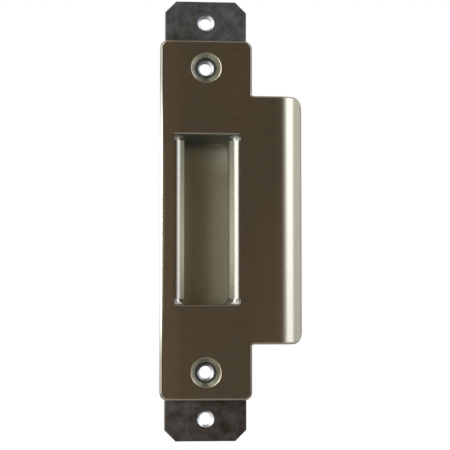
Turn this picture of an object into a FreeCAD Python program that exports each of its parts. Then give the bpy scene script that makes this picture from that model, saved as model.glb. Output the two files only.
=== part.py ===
import FreeCAD, Part
import math
import os
import Sketcher

# Curved-lip strike for a mortise lock: a strike plate folded from one sheet, a tapped backing
# plate that it is screwed to, and a dust box whose rim lies on the backing plate's back.
# Frame: X across the plate towards the lip, Y into the jamb, Z up along the plate.
# The origin is midway between the screws, on the front face of the backing plate.

# Two lengths in millimetres that differ by less than this are the same
CLOSE = 1e-4

# Driving dimensions: name, value in millimetres (or degrees), what it sets
DIMENSIONS = [
    ("plate_height", 123.825, "strike plate, top to bottom"),
    ("plate_width", 31.75, "strike plate, without its lip"),
    ("plate_sheet", 2.4, "thickness of the strike plate"),
    ("plate_corner", 2.8, "outline radius of the plate's corners"),
    ("edge_round", 0.9, "rounding of the front edge, all round"),
    ("lip_height", 85.725, "lip, top to bottom"),
    ("lip_reach", 34.0, "plate's centreline to the lip's tip"),
    ("lip_bend", 11.1, "outer radius of the lip's curve"),
    ("lip_sweep", 58.0, "angle that the lip turns through, degrees"),
    ("lip_corner", 4.4, "outline radius of the lip's tip corners"),
    ("lip_root", 0.8, "radius between the plate's side and the lip"),
    ("screw_margin", 9.525, "plate's end to the centre of its screw hole"),
    ("screw_hole", 7.3, "screw holes at the back of the sheet"),
    ("screw_rim", 10.3, "countersinks at the front face, before their rounding"),
    ("screw_angle", 90.0, "included angle of the countersinks, degrees"),
    ("screw_round", 0.6, "rounding of the countersinks' rims"),
    ("slot_height", 58.2, "slot cut through the sheet"),
    ("slot_clear", 15.7, "gap between the two rolled flanges"),
    ("slot_shift", 0.4, "slot's centre from the plate's, towards the lip"),
    ("slot_round", 1.0, "rounding of the slot's short ends"),
    ("flange_bend", 1.2, "inner radius of the rolled flanges"),
    ("flange_sweep", 38.0, "angle that the flanges turn back through, degrees"),
    ("flange_flat", 1.75, "flat of a flange, from its bend to its edge"),
    ("flange_relief", 1.85, "notch between a flange and the slot's end"),
    ("tab_reach", 13.8875, "backing plate, past the strike plate's ends"),
    ("backing_width", 28.1, "backing plate, side to side"),
    ("backing_sheet", 1.9, "thickness of the backing plate"),
    ("backing_corner", 3.8, "bevel across the backing plate's corners"),
    ("backing_edge", 0.3, "broken front edge of the backing plate"),
    ("tab_margin", 7.5375, "tab's end to the centre of its jamb screw's hole"),
    ("thread_size", 5.49, "outside diameter of the screw threads"),
    ("thread_mouth", 6.1, "chamfered mouths of the tapped holes"),
    ("thread_length", 5.2, "tapped length, through sheet and collar"),
    ("collar_wall", 1.1, "wall of the drawn collars round the threads"),
    ("collar_tip", 0.4, "bevel round the end of a collar"),
    ("opening_gap", 0.45, "backing plate's opening, outside the slot"),
    ("opening_corner", 1.0, "outline radius of the opening's corners"),
    ("box_sheet", 0.7, "thickness of the dust box"),
    ("box_depth", 28.5, "floor of the box, from the strike's front face"),
    ("box_gap", 0.3, "box clear of the flanges' edges and the slot's ends"),
    ("box_corner", 3.5, "inner radius of the box's upright corners"),
    ("box_foot", 0.5, "inner radius round the box's floor"),
    ("rim_flat", 2.7, "flat of the box's rim, outside its bend"),
    ("rim_bend", 0.4, "inner radius between the rim and the walls"),
]


def make_sheet(doc):
    sheet = doc.addObject("Spreadsheet::Sheet", "sizes")
    for row, (name, value, meaning) in enumerate(DIMENSIONS, start=1):
        sheet.set(f"A{row}", meaning)
        sheet.set(f"B{row}", str(value))
        sheet.setAlias(f"B{row}", name)
    # Sizes that follow from the driving ones, shared by pieces that meet
    derived = [
        ("screw_pitch", "=plate_height - 2 * screw_margin"),
        ("backing_height", "=plate_height + 2 * tab_reach"),
        ("jamb_pitch", "=backing_height - 2 * tab_margin"),
        ("flange_out", "=(plate_sheet + flange_bend) * sin(flange_sweep * 1 deg)"),
        ("flange_run", "=flange_out + flange_flat * cos(flange_sweep * 1 deg)"),
        ("slot_width", "=slot_clear + 2 * flange_run"),
        ("flange_height", "=slot_height - 2 * flange_relief"),
        ("bend_size", "=rim_bend + box_sheet"),
        ("flange_edge", "=plate_sheet * sin(flange_sweep * 1 deg)"),
        ("box_width", "=slot_clear + 2 * (flange_edge + box_gap)"),
        ("box_height", "=slot_height + 2 * box_gap"),
    ]
    for row, (name, formula) in enumerate(derived, start=len(DIMENSIONS) + 2):
        sheet.set(f"B{row}", formula)
        sheet.setAlias(f"B{row}", name)
    doc.recompute()
    return sheet


def make_body(doc, label, **place):
    """A body for one piece, with the offsets of its placement bound to the sheet."""
    body = doc.addObject("PartDesign::Body", label)
    body.Label = label
    for axis, expression in place.items():
        body.setExpression(f"Placement.Base.{axis}", expression)
    return body


def make_sketch(body, name, role, side="0", lift="0"):
    """A sketch on an origin plane: side shifts it along its own x, lift along its normal."""
    sketch = body.newObject("Sketcher::SketchObject", name)
    plane = next(p for p in body.Origin.OriginFeatures if p.Role == role)
    sketch.AttachmentSupport = [(plane, "")]
    sketch.MapMode = "FlatFace"
    sketch.setExpression(".AttachmentOffset.Base.x", side)
    sketch.setExpression(".AttachmentOffset.Base.z", lift)
    return sketch


def relate(sketch, kind, *elements):
    sketch.addConstraint(Sketcher.Constraint(kind, *elements))


def bind(sketch, name, expression, kind, *elements):
    """Add a dimension and bind it to the sheet. The last element is its first value."""
    index = sketch.addConstraint(Sketcher.Constraint(kind, *elements))
    sketch.renameConstraint(index, name)
    sketch.setExpression(f"Constraints.{name}", expression)


def draw_rectangle(sketch, width, height):
    """A rectangle centred on the sketch's origin."""
    corners = [(-1, -1), (1, -1), (1, 1), (-1, 1)]
    for (x0, y0), (x1, y1) in zip(corners, corners[1:] + corners[:1]):
        start = FreeCAD.Vector(x0, y0, 0)
        end = FreeCAD.Vector(x1, y1, 0)
        sketch.addGeometry(Part.LineSegment(start, end), False)
    for side in range(4):
        relate(sketch, "Coincident", side, 2, (side + 1) % 4, 1)
        relate(sketch, "Horizontal" if side % 2 == 0 else "Vertical", side)
    relate(sketch, "Symmetric", 0, 1, 2, 1, -1, 1)
    bind(sketch, "width", width, "DistanceX", 0, 1, 0, 2, 2.0)
    bind(sketch, "height", height, "DistanceY", 1, 1, 1, 2, 2.0)


def draw_hole_pair(sketch, diameter, pitch):
    """Two equal circles on the sketch's upright axis, either side of its origin."""
    top, bottom = [
        sketch.addGeometry(Part.Circle(FreeCAD.Vector(0, y, 0), FreeCAD.Vector(0, 0, 1), 1), False)
        for y in (2, -2)
    ]
    relate(sketch, "PointOnObject", top, 3, -2)
    relate(sketch, "Symmetric", top, 3, bottom, 3, -1, 1)
    relate(sketch, "Equal", top, bottom)
    bind(sketch, f"size_{top}", diameter, "Diameter", top, 2.0)
    bind(sketch, f"pitch_{top}", pitch, "DistanceY", bottom, 3, top, 3, 4.0)


def draw_outline(sketch, points, arcs):
    """A closed outline through the points. arcs maps a side to its centre and turning way."""
    normal = FreeCAD.Vector(0, 0, 1)
    ends = []
    for side, (x0, y0) in enumerate(points):
        x1, y1 = points[(side + 1) % len(points)]
        if side in arcs:
            (cx, cy), way = arcs[side]
            circle = Part.Circle(FreeCAD.Vector(cx, cy, 0), normal, math.hypot(x0 - cx, y0 - cy))
            angles = [math.atan2(y0 - cy, x0 - cx), math.atan2(y1 - cy, x1 - cx)][::way]
            sketch.addGeometry(Part.ArcOfCircle(circle, *angles), False)
            ends.append((1, 2)[::way])
        else:
            line = Part.LineSegment(FreeCAD.Vector(x0, y0, 0), FreeCAD.Vector(x1, y1, 0))
            sketch.addGeometry(line, False)
            ends.append((1, 2))
    for side, (first, last) in enumerate(ends):
        after = (side + 1) % len(points)
        relate(sketch, "Coincident", side, last, after, ends[after][0])


def draw_round_rectangle(sketch, width, height, corner):
    """A rectangle centred on the sketch's origin, with its corners rounded."""
    points = [(-2, -3), (2, -3), (3, -2), (3, 2), (2, 3), (-2, 3), (-3, 2), (-3, -2)]
    centres = {1: (2, -2), 3: (2, 2), 5: (-2, 2), 7: (-2, -2)}
    draw_outline(sketch, points, {side: (centre, 1) for side, centre in centres.items()})
    for side in (0, 4):
        relate(sketch, "Horizontal", side)
        relate(sketch, "Vertical", side + 2)
        relate(sketch, "Vertical", side + 1, 1, side + 1, 3)
        relate(sketch, "Horizontal", side + 1, 2, side + 1, 3)
        relate(sketch, "Horizontal", side + 3, 1, side + 3, 3)
        relate(sketch, "Vertical", side + 3, 2, side + 3, 3)
    for arc in (3, 5, 7):
        relate(sketch, "Equal", 1, arc)
    relate(sketch, "Symmetric", 3, 3, 7, 3, -1, 1)
    bind(sketch, "width", width, "DistanceX", 6, 1, 2, 1, 6.0)
    bind(sketch, "height", height, "DistanceY", 0, 1, 4, 2, 6.0)
    bind(sketch, "corner", corner, "Radius", 1, 1.0)


def draw_lip_section(sketch, sizes):
    """The lip's section, from the plate's centreline out along the sheet and round its curve."""
    sheet, outer = sizes.plate_sheet, sizes.lip_bend
    turn = math.radians(sizes.lip_sweep)
    inner = outer - sheet
    root = sizes.lip_reach - outer * math.sin(turn)
    points = [
        (0, 0),
        (0, -sheet),
        (root, -sheet),
        (root + outer * math.sin(turn), inner - outer * math.cos(turn)),
        (root + inner * math.sin(turn), inner - inner * math.cos(turn)),
        (root, 0),
    ]
    centre = (root, inner)
    draw_outline(sketch, points, {2: (centre, 1), 4: (centre, -1)})
    relate(sketch, "Coincident", 0, 1, -1, 1)
    relate(sketch, "Vertical", 0)
    relate(sketch, "Horizontal", 1)
    relate(sketch, "Horizontal", 5)
    relate(sketch, "Coincident", 2, 3, 4, 3)
    relate(sketch, "Vertical", 1, 2, 2, 3)
    relate(sketch, "Vertical", 5, 1, 2, 3)
    relate(sketch, "PointOnObject", 2, 3, 3)
    bind(sketch, "sheet", "sizes.plate_sheet", "DistanceY", 0, 2, 0, 1, sheet)
    bind(sketch, "bend", "sizes.lip_bend", "Radius", 2, outer)
    bind(sketch, "sweep", "sizes.lip_sweep * 1 deg", "Angle", 2, turn)
    bind(sketch, "reach", "sizes.lip_reach", "DistanceX", -1, 1, 3, 1, sizes.lip_reach)


def draw_flange_section(sketch, sizes):
    """The left flange's section: a bend from the slot's side, then a flat that slopes back."""
    sheet, inner, flat = sizes.plate_sheet, sizes.flange_bend, sizes.flange_flat
    side = -sizes.slot_width / 2
    turn = math.radians(sizes.flange_sweep)
    across, back = math.cos(turn), math.sin(turn)
    outer = inner + sheet
    bend_end = (side + outer * back, inner - outer * across)
    tip = (bend_end[0] + flat * across, bend_end[1] + flat * back)
    points = [
        (side, -sheet),
        bend_end,
        tip,
        (tip[0] - sheet * back, tip[1] + sheet * across),
        (side + inner * back, inner - inner * across),
        (side, 0),
    ]
    centre = (side, inner)
    draw_outline(sketch, points, {0: (centre, 1), 4: (centre, -1)})
    relate(sketch, "Perpendicular", 1, 2)
    relate(sketch, "Parallel", 1, 3)
    relate(sketch, "Vertical", 5)
    relate(sketch, "Coincident", 0, 3, 4, 3)
    relate(sketch, "Vertical", 5, 1, 0, 3)
    relate(sketch, "PointOnObject", 5, 1, -1)
    bind(sketch, "side", "sizes.slot_width / 2", "DistanceX", 5, 1, -1, 1, -side)
    bind(sketch, "sheet", "sizes.plate_sheet", "DistanceY", 5, 2, 5, 1, sheet)
    bind(sketch, "bend", "sizes.flange_bend", "Radius", 4, inner)
    bind(sketch, "front_sweep", "sizes.flange_sweep * 1 deg", "Angle", 0, turn)
    bind(sketch, "back_sweep", "sizes.flange_sweep * 1 deg", "Angle", 4, turn)
    bind(sketch, "slope", "sizes.flange_sweep * 1 deg", "Angle", 1, turn)
    bind(sketch, "flat", "sizes.flange_flat", "Distance", 1, flat)


def extrude(body, kind, name, sketch, length, **settings):
    """Pad or pocket a sketch. A pad has to add volume to the body, and a pocket to take some."""
    before = body.Tip.Shape.Volume if body.Tip else 0.0
    feature = body.newObject(kind, name)
    feature.Profile = sketch
    feature.setExpression("Length", length)
    for setting, value in settings.items():
        setattr(feature, setting, value)
    body.Document.recompute()
    gained = feature.Shape.Volume - before
    if (gained < 0) != kind.endswith("Pocket"):
        raise RuntimeError(f"{name} changed the volume by {gained:.1f} mm3")
    return feature


def pick_edges(body, wanted):
    """Names of the edges on the body's last feature that the test wanted accepts."""
    edges = enumerate(body.Tip.Shape.Edges, start=1)
    return [f"Edge{index}" for index, edge in edges if not edge.Degenerated and wanted(edge)]


def dress(body, kind, name, size, wanted):
    """Fillet or chamfer the picked edges, with the size bound to the sheet."""
    names = pick_edges(body, wanted)
    if not names:
        raise RuntimeError(f"{name} has no edges")
    base = body.Tip
    feature = body.newObject(kind, name)
    feature.Base = (base, names)
    feature.setExpression("Radius" if kind.endswith("Fillet") else "Size", size)
    body.Document.recompute()


def along(edge, axis):
    """True for a straight edge that runs along axis: x, y or z."""
    if not isinstance(edge.Curve, Part.Line):
        return False
    return abs(getattr(edge.Curve.Direction, axis)) > 1 - CLOSE


def lies_at(shape, axis, place):
    """True for an edge or face that lies whole at one value of X, Y or Z."""
    low = getattr(shape.BoundBox, axis + "Min")
    high = getattr(shape.BoundBox, axis + "Max")
    return abs(low - place) < CLOSE and abs(high - place) < CLOSE


def at_height(edge, height):
    """True for an edge that lies whole at one height, above or below the middle."""
    return lies_at(edge, "Z", height) or lies_at(edge, "Z", -height)


def within(edge, width, height):
    """True for an edge that stays inside a centred rectangle, as seen from the front."""
    box = edge.BoundBox
    return (max(-box.XMin, box.XMax) < width / 2 + CLOSE
            and max(-box.ZMin, box.ZMax) < height / 2 + CLOSE)


def drill(body, name, sketch, diameter, rim, angle):
    """Through holes on the sketch's circles, countersunk at the sketch's plane."""
    hole = body.newObject("PartDesign::Hole", name)
    hole.Profile = sketch
    body.Document.recompute()
    hole.ThreadType = "None"
    hole.DepthType = "ThroughAll"
    hole.DrillPoint = "Flat"
    hole.setExpression("Diameter", diameter)
    hole.HoleCutType = "Countersink"
    hole.HoleCutCustomValues = True
    hole.setExpression("HoleCutDiameter", rim)
    hole.setExpression("HoleCutCountersinkAngle", angle)
    body.Document.recompute()


def make_strike_plate(doc, sizes):
    """The face plate: one sheet with its curved lip, countersinks, and the slot's flanges."""
    body = make_body(doc, "strike_plate")
    front = -sizes.plate_sheet

    outline = make_sketch(body, "plate_outline", "XZ_Plane")
    draw_round_rectangle(outline, "sizes.plate_width", "sizes.plate_height", "sizes.plate_corner")
    extrude(body, "PartDesign::Pad", "plate", outline, "sizes.plate_sheet")

    section = make_sketch(body, "lip_section", "XY_Plane")
    draw_lip_section(section, sizes)
    extrude(body, "PartDesign::Pad", "lip", section, "sizes.lip_height", Midplane=True)
    side = sizes.plate_width / 2
    lip_end = sizes.lip_height / 2
    dress(body, "PartDesign::Fillet", "lip_corners", "sizes.lip_corner",
          lambda edge: at_height(edge, lip_end) and edge.BoundBox.XMin > side + CLOSE
          and isinstance(edge.Curve, Part.Line) and not along(edge, "x"))
    dress(body, "PartDesign::Fillet", "lip_roots", "sizes.lip_root",
          lambda edge: at_height(edge, lip_end) and lies_at(edge, "X", side))
    fronts = [face for face in body.Tip.Shape.Faces if is_front(face, sizes)]
    dress(body, "PartDesign::Fillet", "front_edge", "sizes.edge_round",
          lambda edge: sum(has_edge(face, edge) for face in fronts) == 1)

    cutout = make_sketch(body, "slot_outline", "XZ_Plane", side="sizes.slot_shift")
    draw_rectangle(cutout, "sizes.slot_width", "sizes.slot_height")
    extrude(body, "PartDesign::Pocket", "slot", cutout, "2 * sizes.plate_sheet", Midplane=True)
    slot_end = sizes.slot_height / 2
    dress(body, "PartDesign::Fillet", "slot_ends", "sizes.slot_round",
          lambda edge: at_height(edge, slot_end) and lies_at(edge, "Y", front))

    rolled = make_sketch(body, "flange_section", "XY_Plane", side="sizes.slot_shift")
    draw_flange_section(rolled, sizes)
    left = extrude(body, "PartDesign::Pad", "left_flange", rolled, "sizes.flange_height",
                   Midplane=True)
    right = body.newObject("PartDesign::Mirrored", "right_flange")
    right.Originals = [left]
    right.MirrorPlane = (rolled, ["V_Axis"])
    body.Tip = right
    doc.recompute()

    spots = make_sketch(body, "screw_spots", "XZ_Plane", lift="sizes.plate_sheet")
    draw_hole_pair(spots, "sizes.screw_hole", "sizes.screw_pitch")
    drill(body, "screw_holes", spots, "sizes.screw_hole", "sizes.screw_rim",
          "sizes.screw_angle * 1 deg")
    dress(body, "PartDesign::Fillet", "screw_rims", "sizes.screw_round",
          lambda edge: lies_at(edge, "Y", front) and is_ring(edge, sizes.screw_rim / 2))
    return body


def is_front(face, sizes):
    """True for the strike plate's flat front and the outside of its lip."""
    if isinstance(face.Surface, Part.Cylinder):
        return abs(face.Surface.Radius - sizes.lip_bend) < CLOSE
    return lies_at(face, "Y", -sizes.plate_sheet)


def has_edge(face, edge):
    return any(edge.isSame(own) for own in face.Edges)


def make_backing_plate(doc, sizes):
    """The plate behind the strike: bevelled corners, an opening, and four tapped collars."""
    body = make_body(doc, "backing_plate")

    outline = make_sketch(body, "backing_outline", "XZ_Plane")
    draw_rectangle(outline, "sizes.backing_width", "sizes.backing_height")
    extrude(body, "PartDesign::Pad", "backing", outline, "sizes.backing_sheet", Reversed=True)
    dress(body, "PartDesign::Chamfer", "corner_bevels", "sizes.backing_corner",
          lambda edge: along(edge, "y"))
    dress(body, "PartDesign::Fillet", "front_edge_break", "sizes.backing_edge",
          lambda edge: lies_at(edge, "Y", 0))

    opening = make_sketch(body, "opening_outline", "XZ_Plane", side="sizes.slot_shift")
    margin = " + 2 * sizes.opening_gap"
    draw_round_rectangle(opening, "sizes.slot_width" + margin, "sizes.slot_height" + margin,
                         "sizes.opening_corner")
    extrude(body, "PartDesign::Pocket", "opening", opening, "2 * sizes.backing_sheet",
            Midplane=True)

    rings = make_sketch(body, "collar_rings", "XZ_Plane", lift="-sizes.backing_sheet")
    girth = "sizes.thread_size + 2 * sizes.collar_wall"
    draw_hole_pair(rings, girth, "sizes.screw_pitch")
    draw_hole_pair(rings, girth, "sizes.jamb_pitch")
    extrude(body, "PartDesign::Pad", "collars", rings,
            "sizes.thread_length - sizes.backing_sheet", Reversed=True)
    collar = sizes.thread_size / 2 + sizes.collar_wall
    dress(body, "PartDesign::Chamfer", "collar_tips", "sizes.collar_tip",
          lambda edge: lies_at(edge, "Y", sizes.thread_length) and is_ring(edge, collar))

    spots = make_sketch(body, "thread_spots", "XZ_Plane")
    draw_hole_pair(spots, "sizes.thread_size", "sizes.screw_pitch")
    draw_hole_pair(spots, "sizes.thread_size", "sizes.jamb_pitch")
    drill(body, "tapped_holes", spots, "sizes.thread_size", "sizes.thread_mouth", "90 deg")
    return body


def is_ring(edge, radius):
    return isinstance(edge.Curve, Part.Circle) and abs(edge.Curve.Radius - radius) < CLOSE


def make_dust_box(doc, sizes):
    """The drawn pan behind the slot. Its rim lies on the back of the backing plate."""
    body = make_body(doc, "dust_box", x="sizes.slot_shift", y="sizes.backing_sheet + sizes.box_sheet")
    wall = sizes.box_sheet
    depth = sizes.box_depth - sizes.plate_sheet - sizes.backing_sheet

    rim = make_sketch(body, "rim_outline", "XZ_Plane")
    spread = " + 2 * (sizes.bend_size + sizes.rim_flat)"
    draw_round_rectangle(rim, "sizes.box_width" + spread, "sizes.box_height" + spread,
                         "sizes.box_corner + sizes.bend_size")
    extrude(body, "PartDesign::Pad", "rim", rim, "sizes.box_sheet")

    pan = make_sketch(body, "pan_outline", "XZ_Plane")
    draw_round_rectangle(pan, "sizes.box_width + 2 * sizes.box_sheet",
                         "sizes.box_height + 2 * sizes.box_sheet",
                         "sizes.box_corner + sizes.box_sheet")
    reach = "sizes.box_depth - sizes.plate_sheet - sizes.backing_sheet"
    extrude(body, "PartDesign::Pad", "pan", pan, reach, Reversed=True)
    dress(body, "PartDesign::Fillet", "rim_underside", "sizes.rim_bend",
          lambda edge: lies_at(edge, "Y", 0)
          and within(edge, sizes.box_width + 2 * wall, sizes.box_height + 2 * wall))

    hollow = make_sketch(body, "hollow_outline", "XZ_Plane", lift="sizes.box_sheet")
    draw_round_rectangle(hollow, "sizes.box_width", "sizes.box_height", "sizes.box_corner")
    extrude(body, "PartDesign::Pocket", "hollow", hollow, reach)
    dress(body, "PartDesign::Fillet", "hollow_foot", "sizes.box_foot",
          lambda edge: lies_at(edge, "Y", depth - wall))
    dress(body, "PartDesign::Fillet", "pan_foot", "sizes.box_foot + sizes.box_sheet",
          lambda edge: lies_at(edge, "Y", depth))
    dress(body, "PartDesign::Fillet", "mouth", "sizes.bend_size",
          lambda edge: lies_at(edge, "Y", -wall)
          and within(edge, sizes.box_width, sizes.box_height))
    return body


def check_and_write(doc, bodies):
    """Stop on any failed feature or bad solid, then write one file for each piece."""
    doc.recompute()
    for item in doc.Objects:
        if "Invalid" in item.State or "Error" in item.State:
            raise RuntimeError(f"{item.Label} did not build")
    for body in bodies:
        if body.Shape.isNull() or not body.Shape.isValid() or len(body.Shape.Solids) != 1:
            raise RuntimeError(f"{body.Label} isn't one sound solid")
    os.makedirs("parts", exist_ok=True)
    for body in bodies:
        body.Shape.exportStep(f"parts/{body.Label}.step")
        box = body.Shape.BoundBox
        print(body.Label, f"{body.Shape.Volume:.1f} mm3", box)


doc = FreeCAD.newDocument("mortise_strike")
sizes = make_sheet(doc)
bodies = [
    make_strike_plate(doc, sizes),
    make_backing_plate(doc, sizes),
    make_dust_box(doc, sizes),
]
check_and_write(doc, bodies)
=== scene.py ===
import bpy
import math
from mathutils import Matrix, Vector


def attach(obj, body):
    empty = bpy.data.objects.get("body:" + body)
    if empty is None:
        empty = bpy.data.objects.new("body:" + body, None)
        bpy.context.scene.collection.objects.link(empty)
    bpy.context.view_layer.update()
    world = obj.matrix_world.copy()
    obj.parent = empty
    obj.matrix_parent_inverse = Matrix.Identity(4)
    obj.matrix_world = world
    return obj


# Looks for the curved-lip mortise strike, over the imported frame.
# Metres throughout: X across the plate towards the lip, Y into the jamb, Z up.

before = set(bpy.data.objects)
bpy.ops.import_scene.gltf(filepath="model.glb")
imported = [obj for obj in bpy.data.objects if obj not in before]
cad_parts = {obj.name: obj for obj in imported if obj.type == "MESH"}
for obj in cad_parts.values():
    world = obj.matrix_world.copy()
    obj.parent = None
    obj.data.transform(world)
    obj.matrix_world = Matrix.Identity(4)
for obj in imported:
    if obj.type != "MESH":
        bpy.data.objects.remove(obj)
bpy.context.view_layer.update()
MM = 0.001

# Camera, as the photograph was taken: a little to the left of the plate, and below its middle
CAMERA_PLACE = (-39.5 * MM, -519.4 * MM, -33.6 * MM)
CAMERA_YAW = 5.08
CAMERA_PITCH = 3.49
PHOTO_WIDTH_PX = 450
FOCAL_PX = 1516.3
SENSOR = 36.0

# Studio: a floor, a dark card that the plate's flat faces mirror, soft lamps and a white world
FLOOR_DROP = 0.4
FLOOR_SIZE = 1.2
FLOOR_COLOUR = (0.76, 0.735, 0.69)
CARD_WIDTH = 0.94
CARD_HEIGHT = 2.2
CARD_PLACE = (0.13, -1.0, 0.1)
CARD_COLOUR = (0.213, 0.155, 0.096)
PANEL_ROUGHNESS = 0.9
LAMP_DISTANCE = 1.1
LAMP_LOW = -8.0
LAMP_HIGH = 42.0
COOL = (0.9, 0.99, 1.1)
COOLER = (0.9, 0.99, 1.22)
# First and last azimuth, radiance and colour of each soft lamp
SOFTBOXES = {
    "right_softbox": (41, 69, 4.1, COOLER),
    "left_softbox": (-60, -20, 6.6, COOL),
    "right_fill": (71, 110, 0.81, COOL),
    "left_fill": (-115, -62, 1.14, COOL),
}
WORLD_SEEN = 1.0
WORLD_ON_MATT = 0.5

# Places on the object that its finishes follow
SCREW_HEIGHT = 52.3875 * MM
TAB_HEIGHT = 68.2625 * MM
SLOT_SHIFT = 0.4 * MM
CONE_RADIUS = 4.95 * MM
CONE_SOFT = 0.2 * MM

# Screw threads in the backing plate: number 12, 24 turns to the inch
THREAD_PITCH = 25.4 / 24 * MM
THREAD_ROOT = 2.745 * MM
THREAD_CREST = 2.2 * MM
THREAD_START = 0.45 * MM
THREAD_END = 4.75 * MM
THREAD_STEPS = 48
THREAD_FADE_STEPS = 16
THREAD_LEAST_WIDTH = 0.02
THREAD_HALF_ROOT = 0.45 * THREAD_PITCH
THREAD_HALF_CREST = 0.07 * THREAD_PITCH
THREAD_MOUTH = 2.95 * MM
THREAD_MOUTH_SOFT = 0.03 * MM
THREAD_HOLES = {
    "top_tab_thread": TAB_HEIGHT,
    "top_plate_thread": SCREW_HEIGHT,
    "bottom_plate_thread": -SCREW_HEIGHT,
    "bottom_tab_thread": -TAB_HEIGHT,
}

# Colours, linear: the bare finishes, and tones that paint light and shade on them
BRONZE = (0.188, 0.166, 0.120)
BRONZE_WARM = (0.225, 0.178, 0.118)
# Painted light on the strike's flats, low on the left and beside the lip
BRONZE_PAINTED_LIGHT = (0.255, 0.205, 0.142)
# Painted reflection on the slot's flange flats, painted shade towards their ends, and a painted highlight
# tone on their bends
BRONZE_SLOT_REFLECTION = (0.205, 0.197, 0.121)
BRONZE_SLOT_END_SHADE = (0.092, 0.090, 0.054)
BRONZE_BEND_HIGHLIGHT = (0.173, 0.157, 0.125)
# Painted shade on the strike's right rim and along the slot's foot
BRONZE_PAINTED_SHADE = (0.075, 0.066, 0.050)
# Painted highlight across the lip's curve, toned down at its tip
BRONZE_LIP_HIGHLIGHT = (0.255, 0.235, 0.172)
BRONZE_TIP_HIGHLIGHT = (0.200, 0.185, 0.133)
# Painted shade on the left rim's ends
BRONZE_RIM_SHADE = (0.100, 0.090, 0.066)
# Painted shade in the countersinks, with a painted highlight on their left sides
BRONZE_SEAT_SHADE = (0.162, 0.150, 0.098)
BRONZE_SEAT_HIGHLIGHT = (0.56, 0.54, 0.42)
# Painted highlight along the left edge's rounding
BRONZE_EDGE_HIGHLIGHT = (0.70, 0.67, 0.57)
BRONZE_STREAK_SHARE = 0.93
BOX = (0.275, 0.234, 0.150)
BOX_DULL = (0.230, 0.198, 0.135)
# Dust box: painted light towards the top, on the left, in the upper right corner and on the side walls,
# and painted shade low on the lip's side
BOX_PAINTED_LIGHT = (0.32, 0.285, 0.195)
BOX_SHADED = (0.212, 0.187, 0.128)
BOX_LEFT_LIGHT = (0.36, 0.335, 0.245)
BOX_TOP_RIGHT_LIGHT = (0.46, 0.45, 0.34)
BOX_SIDE_WALL_LIGHT = (0.62, 0.58, 0.48)
# Painted shade on the dust box's upper end wall
BOX_END_WALL_SHADE = (0.082, 0.094, 0.082)
# Painted highlight on the dust box's rim in the slot's notches
BOX_RIM_HIGHLIGHT = (0.97, 0.91, 0.76)
ZINC = (0.046, 0.048, 0.042)
ZINC_PURPLE = (0.066, 0.064, 0.066)
ZINC_BROWN = (0.040, 0.029, 0.021)
ZINC_TAN = (0.056, 0.045, 0.036)
ZINC_SPECK = (0.22, 0.21, 0.21)
CUT_STEEL = (0.42, 0.425, 0.43)
# Painted shade and painted light on the cut metal in the tapped holes
CUT_SHADE = (0.15, 0.152, 0.155)
CUT_PAINTED_LIGHT = (0.60, 0.61, 0.62)

# Strike plate: each ramp is where a tone starts, and where it is full
PALE_LEFT = (-8 * MM, -12 * MM)
PALE_LEFT_DOWN = (45 * MM, 10 * MM)
PALE_RIGHT = (16 * MM, 20 * MM)
PALE_RIGHT_DOWN = (10 * MM, -15 * MM)
FLANGE_BEND = (9.0 * MM, 9.4 * MM)
FLANGE_TOP = (-4 * MM, 27 * MM)
FLANGE_FOOT = (-14 * MM, -27 * MM)
# Where the painted highlight along the left edge lies
EDGE_HIGHLIGHT_ACROSS = (-14.2 * MM, -14.9 * MM)
EDGE_HIGHLIGHT_MIDDLE = (50 * MM, 25 * MM)
EDGE_HIGHLIGHT_BOW = 0.222
RIGHT_RIM = (14.9 * MM, 15.1 * MM)
RIGHT_RIM_PAST_LIP = (43.3 * MM, 43.9 * MM)
FRONT_ROUNDING = (-1.2 * MM, -1.5 * MM)
LEFT_RIM_PAST_MIDDLE = (32 * MM, 46 * MM)
# Where the painted highlight across the lip lies
LIP_LIGHT_START = (23.5 * MM, 25.5 * MM)
LIP_LIGHT_FULL = (26.3 * MM, 28 * MM)
LIP_TIP = (32.6 * MM, 33.1 * MM)
# Where the painted highlight in the countersinks lies
SEAT_HIGHLIGHT_ACROSS = (-2.7 * MM, -4.4 * MM)
# Bands of the strike plate: from, to, and the length over which each fades beyond both
SLOT_WIDTH = (-11.0 * MM, 11.8 * MM, 0.3 * MM)
SLOT_HEIGHT = (-29.1 * MM, 29.1 * MM, 0.3 * MM)
SLOT_FOOT_LINE = (-30.2 * MM, -29.3 * MM, 0.1 * MM)
LEFT_RIM = (-15.3 * MM, -15.0 * MM, 0.2 * MM)

# Dust box: ramps, and then bands beside the slot's middle
BOX_TOWARDS_TOP = (8 * MM, 27 * MM)
BOX_SHADE = (1 * MM, 7 * MM)
BOX_SHADE_DOWN = (27 * MM, 12 * MM)
BOX_LEFT_SIDE = (-2.5 * MM, -5.5 * MM)
BOX_CORNER = (-2 * MM, 8 * MM)
BOX_CORNER_UP = (18 * MM, 28 * MM)
BOX_RIM_DEPTH = (2.6 * MM, 2.5 * MM)
BOX_RIM_RIGHTWARDS = (-10.8 * MM, -10.2 * MM)
END_WALL_LIGHTER = (0.0, 9 * MM)
END_WALL_DEEPER = (6 * MM, 24 * MM)
END_WALL_INSIDE = (26 * MM, 29.5 * MM)
END_WALL_OUTSIDE = (30 * MM, 29.8 * MM)
BOX_SIDE_WALL = (9.6 * MM, 10.2 * MM, 0.1 * MM)
BOX_RIM = (9.7 * MM, 11.3 * MM, 0.3 * MM)

# Backing plate: ramps
PURPLE_RIGHTWARDS = (-6 * MM, 12 * MM)
TAN_LEFTWARDS = (6 * MM, -8 * MM)
BROWN_DOWN = (40 * MM, -40 * MM)
HOLE_SHADE_ABOVE = (-0.5 * MM, 2.5 * MM)
HOLE_BRIGHT_RIGHTWARDS = (0.3 * MM, 1.8 * MM)


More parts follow.
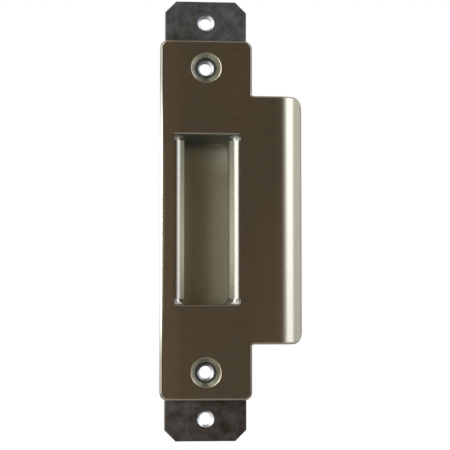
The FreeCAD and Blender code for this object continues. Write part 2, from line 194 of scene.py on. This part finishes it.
class Shading:
    """A new material's node tree, with short calls for the nodes that this scene uses."""

    def __init__(self, name):
        self.material = bpy.data.materials.new(name)
        self.material.use_nodes = True
        self.tree = self.material.node_tree
        self.shader = self.tree.nodes["Principled BSDF"]
        coordinates = self.tree.nodes.new("ShaderNodeTexCoord")
        self.place = coordinates.outputs["Object"]

    def set(self, **values):
        """Set the shader's own sockets, written with _ for each space."""
        for name, value in values.items():
            self.shader.inputs[name.replace("_", " ")].default_value = value

    def link(self, output, socket):
        self.tree.links.new(output, self.shader.inputs[socket])

    def noise(self, per_metre, detail=2.0, roughness=0.5):
        """Noise whose features repeat about per_metre times along X, Y and Z."""
        stretch = self.tree.nodes.new("ShaderNodeMapping")
        stretch.inputs["Scale"].default_value = per_metre
        self.tree.links.new(self.place, stretch.inputs["Vector"])
        noise = self.tree.nodes.new("ShaderNodeTexNoise")
        noise.inputs["Scale"].default_value = 1.0
        noise.inputs["Detail"].default_value = detail
        noise.inputs["Roughness"].default_value = roughness
        self.tree.links.new(stretch.outputs["Vector"], noise.inputs["Vector"])
        return noise.outputs["Fac"]

    def axes(self):
        """The object's own X, Y and Z, as three values."""
        split = self.tree.nodes.new("ShaderNodeSeparateXYZ")
        self.tree.links.new(self.place, split.inputs["Vector"])
        return [split.outputs[axis] for axis in "XYZ"]

    def span(self, value, ramp, start=0.0, end=1.0):
        """Map a value from the ramp's two ends to start and end, clamped."""
        node = self.tree.nodes.new("ShaderNodeMapRange")
        node.inputs["From Min"].default_value, node.inputs["From Max"].default_value = ramp
        node.inputs["To Min"].default_value = start
        node.inputs["To Max"].default_value = end
        self.tree.links.new(value, node.inputs["Value"])
        return node.outputs["Result"]

    def mix(self, factor, first, second):
        """Blend two colours, each a tuple or another node's output."""
        mix = self.tree.nodes.new("ShaderNodeMix")
        mix.data_type = "RGBA"
        self.tree.links.new(factor, mix.inputs["Factor"])
        for socket, colour in ((mix.inputs[6], first), (mix.inputs[7], second)):
            if isinstance(colour, tuple):
                socket.default_value = (*colour, 1)
            else:
                self.tree.links.new(colour, socket)
        return mix.outputs[2]

    def calculate(self, operation, *values):
        """A Math node over numbers and other nodes' outputs."""
        node = self.tree.nodes.new("ShaderNodeMath")
        node.operation = operation
        for socket, value in zip(node.inputs, values):
            if isinstance(value, (int, float)):
                socket.default_value = value
            else:
                self.tree.links.new(value, socket)
        return node.outputs[0]

    def plus(self, first, second):
        return self.calculate("ADD", first, second)

    def minus(self, first, second):
        return self.calculate("SUBTRACT", first, second)

    def size(self, value):
        """The value without its sign."""
        return self.calculate("ABSOLUTE", value)

    def times(self, first, *others):
        """The product of several values."""
        for other in others:
            first = self.calculate("MULTIPLY", first, other)
        return first

    def inside(self, value, band):
        """1 within the band, fading to 0 over its soft length beyond each end."""
        low, high, soft = band
        return self.times(self.span(value, (low - soft, low)), self.span(value, (high + soft, high)))

    def from_axis(self, across, height):
        """Distance from an axis along Y, from the offsets across it and up from it."""
        squares = [self.times(offset, offset) for offset in (across, height)]
        return self.calculate("SQRT", self.plus(*squares))

    def bump(self, height, strength, distance):
        bump = self.tree.nodes.new("ShaderNodeBump")
        bump.inputs["Strength"].default_value = strength
        bump.inputs["Distance"].default_value = distance
        self.tree.links.new(height, bump.inputs["Height"])
        self.link(bump.outputs["Normal"], "Normal")

    def brushed_along_x(self, amount):
        """Highlights spread upright, across brush lines that run along X."""
        up = self.tree.nodes.new("ShaderNodeCombineXYZ")
        up.inputs["Z"].default_value = 1.0
        self.link(up.outputs["Vector"], "Tangent")
        self.set(Anisotropic=amount)


def shade_dark_bronze():
    """Plated sheet, brushed across the plate under a thin clear coat."""
    shading = Shading("dark_bronze")
    across, inwards, up = shading.axes()
    far = shading.size(up)
    grain = shading.noise((60, 60, 9000), detail=3)
    streaks = shading.noise((14, 14, 1500), detail=2)
    clouds = shading.noise((16, 16, 11), detail=2)
    warm = shading.mix(shading.span(clouds, (0.38, 0.62)), BRONZE, BRONZE_WARM)
    streak = tuple(BRONZE_STREAK_SHARE * channel for channel in BRONZE)
    tone = shading.mix(shading.span(streaks, (0.35, 0.65), 0.0, 0.5), warm, streak)

    # Painted light: paler low on the left and beside the lip
    left = shading.times(shading.span(across, PALE_LEFT), shading.span(up, PALE_LEFT_DOWN, 0.4, 1.0))
    right = shading.times(shading.span(across, PALE_RIGHT), shading.span(up, PALE_RIGHT_DOWN, 0.0, 0.5))
    tone = shading.mix(shading.plus(left, right), tone, BRONZE_PAINTED_LIGHT)

    # Painted reflection and shade on the slot's flanges: greener on their flats, darker towards their
    # ends, and greyer on their bends so their highlights stay neutral
    beside = shading.size(shading.minus(across, SLOT_SHIFT))
    ends = shading.plus(shading.span(up, FLANGE_TOP), shading.span(up, FLANGE_FOOT, 0.0, 0.85))
    flat = shading.mix(ends, BRONZE_SLOT_REFLECTION, BRONZE_SLOT_END_SHADE)
    flange = shading.mix(shading.span(beside, FLANGE_BEND), flat, BRONZE_BEND_HIGHLIGHT)
    slot_width = shading.inside(across, SLOT_WIDTH)
    slot = shading.times(slot_width, shading.inside(up, SLOT_HEIGHT))
    tone = shading.mix(slot, tone, flange)

    # Painted highlight along the left edge's rounding, whose line bows a little, most of all at mid height
    bowed = shading.plus(across, shading.times(up, up, EDGE_HIGHLIGHT_BOW))
    edge_highlight = shading.times(shading.span(bowed, EDGE_HIGHLIGHT_ACROSS), shading.span(far, EDGE_HIGHLIGHT_MIDDLE))
    tone = shading.mix(edge_highlight, tone, BRONZE_EDGE_HIGHLIGHT)

    # Painted shade on the right rim above and below the lip, on the left rim's ends, and below the slot
    right_rim = shading.times(shading.span(across, RIGHT_RIM), shading.span(far, RIGHT_RIM_PAST_LIP),
                              shading.span(inwards, FRONT_ROUNDING))
    tone = shading.mix(right_rim, tone, BRONZE_PAINTED_SHADE)
    left_rim = shading.times(shading.inside(across, LEFT_RIM), shading.span(far, LEFT_RIM_PAST_MIDDLE))
    tone = shading.mix(left_rim, tone, BRONZE_RIM_SHADE)
    slot_foot = shading.times(slot_width, shading.inside(up, SLOT_FOOT_LINE), 0.25)
    tone = shading.mix(slot_foot, tone, BRONZE_PAINTED_SHADE)

    # Painted highlight across the lip's curve, toned down at its tip
    lip_light = shading.plus(shading.span(across, LIP_LIGHT_START, 0.0, 0.35),
                          shading.span(across, LIP_LIGHT_FULL, 0.0, 0.65))
    tone = shading.mix(lip_light, tone, BRONZE_LIP_HIGHLIGHT)
    tone = shading.mix(shading.span(across, LIP_TIP), tone, BRONZE_TIP_HIGHLIGHT)

    # The countersinks are rougher and darker, a painted shade, with a painted highlight on their left
    # sides
    radius = shading.from_axis(across, shading.minus(far, SCREW_HEIGHT))
    seat = shading.span(radius, (CONE_RADIUS, CONE_RADIUS - CONE_SOFT))
    tone = shading.mix(seat, tone, BRONZE_SEAT_SHADE)
    seat_highlight = shading.times(seat, shading.span(across, SEAT_HIGHLIGHT_ACROSS))
    shading.link(shading.mix(seat_highlight, tone, BRONZE_SEAT_HIGHLIGHT), "Base Color")
    satin = shading.span(grain, (0.3, 0.7), 0.27, 0.32)
    shading.link(shading.plus(satin, shading.times(seat, 0.12)), "Roughness")

    shading.bump(grain, 0.10, 0.02 * MM)
    shading.brushed_along_x(0.8)
    shading.set(Metallic=1.0, Coat_Weight=0.4, Coat_Roughness=0.2)
    return shading.material


def shade_box_bronze():
    """Thin drawn sheet in a satin bronze tone, with a faint orange-peel unevenness."""
    shading = Shading("box_bronze")
    across, inwards, up = shading.axes()
    beside = shading.size(shading.minus(across, SLOT_SHIFT))
    clouds = shading.noise((60, 60, 60), detail=3)
    grit = shading.noise((900, 900, 900), detail=2)
    tone = shading.mix(shading.span(clouds, (0.35, 0.7)), BOX, BOX_DULL)

    # Painted light towards the top, painted shade low on the lip's side, and painted light on the left, in
    # the upper corner and on the side walls
    tone = shading.mix(shading.span(up, BOX_TOWARDS_TOP), tone, BOX_PAINTED_LIGHT)
    shaded = shading.times(shading.span(across, BOX_SHADE), shading.span(up, BOX_SHADE_DOWN, 0.1, 1.0))
    tone = shading.mix(shaded, tone, BOX_SHADED)
    tone = shading.mix(shading.span(across, BOX_LEFT_SIDE), tone, BOX_LEFT_LIGHT)
    corner = shading.times(shading.span(across, BOX_CORNER, 0.25, 1.0), shading.span(up, BOX_CORNER_UP))
    tone = shading.mix(corner, tone, BOX_TOP_RIGHT_LIGHT)
    tone = shading.mix(shading.inside(beside, BOX_SIDE_WALL), tone, BOX_SIDE_WALL_LIGHT)

    # Painted shade on the upper end wall, least of all deep down on the lip's side
    lighter = shading.times(shading.span(across, END_WALL_LIGHTER), shading.span(inwards, END_WALL_DEEPER))
    wall = shading.mix(lighter, BOX_END_WALL_SHADE, BOX)
    end = shading.times(shading.span(up, END_WALL_INSIDE), shading.span(up, END_WALL_OUTSIDE))
    tone = shading.mix(end, tone, wall)

    # Painted highlight on the rim that shows in the slot's notches
    rim = shading.times(shading.inside(beside, BOX_RIM), shading.span(inwards, BOX_RIM_DEPTH),
                        shading.span(across, BOX_RIM_RIGHTWARDS, 0.3, 1.0))
    shading.link(shading.mix(rim, tone, BOX_RIM_HIGHLIGHT), "Base Color")
    shading.link(shading.span(rim, (0.0, 1.0), 0.75, 0.25), "Metallic")
    shading.link(shading.span(grit, (0.3, 0.7), 0.42, 0.52), "Roughness")
    shading.bump(grit, 0.25, 0.03 * MM)
    return shading.material


def shade_dull_zinc():
    """Dull zinc: purple on the upper tab's far side, browner below, mottled and specked."""
    shading = Shading("dull_zinc")
    across, _, up = shading.axes()
    mottle = shading.noise((260, 260, 260), detail=5, roughness=0.65)
    blotch = shading.noise((75, 75, 75), detail=3)
    specks = shading.noise((1500, 1500, 1500), detail=1)
    upper = shading.mix(shading.span(across, PURPLE_RIGHTWARDS, 0.0, 0.8), ZINC, ZINC_PURPLE)
    lower = shading.mix(shading.span(across, TAN_LEFTWARDS), ZINC_BROWN, ZINC_TAN)
    tone = shading.mix(shading.span(up, BROWN_DOWN), upper, lower)
    tone = shading.mix(shading.span(blotch, (0.45, 0.7), 0.0, 0.5), tone, ZINC_BROWN)
    tone = shading.mix(shading.span(mottle, (0.35, 0.75), 0.0, 0.22), tone, ZINC_SPECK)
    tone = shading.mix(shading.span(specks, (0.72, 0.8), 0.0, 0.6), tone, ZINC_SPECK)

    # Bare cut metal in the tapped holes, with painted shade above their axes and painted light on the
    # right
    far = shading.size(up)
    in_tab = shading.calculate("GREATER_THAN", far, (SCREW_HEIGHT + TAB_HEIGHT) / 2)
    offset = shading.minus(shading.minus(far, SCREW_HEIGHT),
                           shading.times(in_tab, TAB_HEIGHT - SCREW_HEIGHT))
    above = shading.times(offset, shading.calculate("SIGN", up))
    steel = shading.mix(shading.span(above, HOLE_SHADE_ABOVE), CUT_STEEL, CUT_SHADE)
    steel = shading.mix(shading.span(across, HOLE_BRIGHT_RIGHTWARDS), steel, CUT_PAINTED_LIGHT)
    cut = shading.span(shading.from_axis(across, offset), (THREAD_MOUTH, THREAD_MOUTH - THREAD_MOUTH_SOFT))
    shading.link(shading.mix(cut, tone, steel), "Base Color")
    dull = shading.span(mottle, (0.3, 0.7), 0.36, 0.50)
    shading.link(shading.minus(dull, shading.times(cut, 0.14)), "Roughness")
    shading.bump(mottle, 0.2, 0.04 * MM)
    shading.set(Metallic=1.0)
    return shading.material


def finish_node(name, material):
    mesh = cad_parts[name].data
    mesh.materials.clear()
    mesh.materials.append(material)


def add_object(name, data):
    made = bpy.data.objects.new(name, data)
    bpy.context.scene.collection.objects.link(made)
    return made


def make_thread(name, height, material):
    """One screw thread as a helical ridge inside a tapped hole, faded out at both its ends."""
    turns = (THREAD_END - THREAD_START) / THREAD_PITCH
    steps = round(turns * THREAD_STEPS)
    points, faces = [], []
    for step in range(steps + 1):
        angle = 2 * math.pi * step / THREAD_STEPS
        depth = THREAD_START + step * THREAD_PITCH / THREAD_STEPS
        grown = min(1, step / THREAD_FADE_STEPS, (steps - step) / THREAD_FADE_STEPS)
        crest = THREAD_ROOT - (THREAD_ROOT - THREAD_CREST) * grown
        for radius, along in ((THREAD_ROOT, -THREAD_HALF_ROOT), (crest, -THREAD_HALF_CREST),
                              (crest, THREAD_HALF_CREST), (THREAD_ROOT, THREAD_HALF_ROOT)):
            along *= max(grown, THREAD_LEAST_WIDTH)
            points.append((radius * math.cos(angle), depth + along, height + radius * math.sin(angle)))
    for step in range(steps):
        for side in range(4):
            a, b = 4 * step + side, 4 * step + (side + 1) % 4
            faces.append((a, b, b + 4, a + 4))
    faces += [(3, 2, 1, 0), tuple(4 * steps + corner for corner in range(4))]
    mesh = bpy.data.meshes.new(name)
    mesh.from_pydata(points, [], faces)
    mesh.materials.append(material)
    mesh.update()
    thread = add_object(name, mesh)
    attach(thread, "root")


def make_panel(name, width, height, place, facing, colour):
    """A flat matt panel of the studio, centred on place and facing the given way."""
    half_width, half_height = width / 2, height / 2
    mesh = bpy.data.meshes.new(name)
    corners = [(-1, -1), (1, -1), (1, 1), (-1, 1)]
    mesh.from_pydata([(x * half_width, y * half_height, 0) for x, y in corners], [], [(0, 1, 2, 3)])
    panel = add_object(name, mesh)
    panel.location = place
    panel.rotation_mode = "QUATERNION"
    panel.rotation_quaternion = Vector(facing).to_track_quat("Z", "Y")
    surface = Shading(name)
    surface.set(Base_Color=(*colour, 1), Roughness=PANEL_ROUGHNESS)
    mesh.materials.append(surface.material)
    return panel


def towards(azimuth, elevation):
    """Unit vector from the object. Azimuth 0 is towards the camera's side, positive to the right."""
    a, e = math.radians(azimuth), math.radians(elevation)
    return Vector((math.sin(a) * math.cos(e), -math.cos(a) * math.cos(e), math.sin(e)))


def lamp_length(start, end):
    """How long a lamp is that fills the angles from start to end, as seen from the object."""
    return 2 * LAMP_DISTANCE * math.tan(math.radians(end - start) / 2)


def add_softbox(name, start, end, radiance, colour):
    """A soft lamp that fills the azimuths from start to end, hidden from the camera."""
    data = bpy.data.lights.new(name, "AREA")
    data.shape = "RECTANGLE"
    data.size = lamp_length(start, end)
    data.size_y = lamp_length(LAMP_LOW, LAMP_HIGH)
    data.energy = radiance * math.pi * data.size * data.size_y
    data.color = colour
    lamp = add_object(name, data)
    middle = towards((start + end) / 2, (LAMP_LOW + LAMP_HIGH) / 2)
    lamp.location = middle * LAMP_DISTANCE
    lamp.rotation_mode = "QUATERNION"
    lamp.rotation_quaternion = (-middle).to_track_quat("-Z", "Y")
    lamp.visible_camera = False


def light_world():
    """White to the camera and in reflections, and softer where it lights matt surfaces."""
    world = bpy.data.worlds.new("studio")
    bpy.context.scene.world = world
    world.use_nodes = True
    tree = world.node_tree
    paths = tree.nodes.new("ShaderNodeLightPath")
    seen = paths.outputs["Is Camera Ray"]
    for kind in ("Is Glossy Ray", "Is Transmission Ray"):
        either = tree.nodes.new("ShaderNodeMath")
        either.operation = "MAXIMUM"
        tree.links.new(seen, either.inputs[0])
        tree.links.new(paths.outputs[kind], either.inputs[1])
        seen = either.outputs[0]
    level = tree.nodes.new("ShaderNodeMapRange")
    level.inputs["To Min"].default_value = WORLD_ON_MATT
    level.inputs["To Max"].default_value = WORLD_SEEN
    tree.links.new(seen, level.inputs["Value"])
    background = tree.nodes["Background"]
    background.inputs["Color"].default_value = (1, 1, 1, 1)
    tree.links.new(level.outputs["Result"], background.inputs["Strength"])


def place_camera():
    data = bpy.data.cameras.new("camera")
    data.sensor_width = SENSOR
    data.lens = SENSOR * FOCAL_PX / PHOTO_WIDTH_PX
    camera = add_object("camera", data)
    camera.location = CAMERA_PLACE
    camera.rotation_euler = (math.radians(90 + CAMERA_PITCH), 0, math.radians(-CAMERA_YAW))
    bpy.context.scene.camera = camera


finish_node("strike_plate", shade_dark_bronze())
finish_node("dust_box", shade_box_bronze())
zinc = shade_dull_zinc()
finish_node("backing_plate", zinc)
for thread_name, hole_height in THREAD_HOLES.items():
    make_thread(thread_name, hole_height, zinc)

make_panel("floor", FLOOR_SIZE, FLOOR_SIZE, (0, 0, -FLOOR_DROP), (0, 0, 1), FLOOR_COLOUR)
card = make_panel("card", CARD_WIDTH, CARD_HEIGHT, CARD_PLACE, (0, 1, 0), CARD_COLOUR)
card.visible_camera = False
for lamp_name, settings in SOFTBOXES.items():
    add_softbox(lamp_name, *settings)
light_world()
place_camera()
bpy.context.scene.view_settings.view_transform = "Standard"
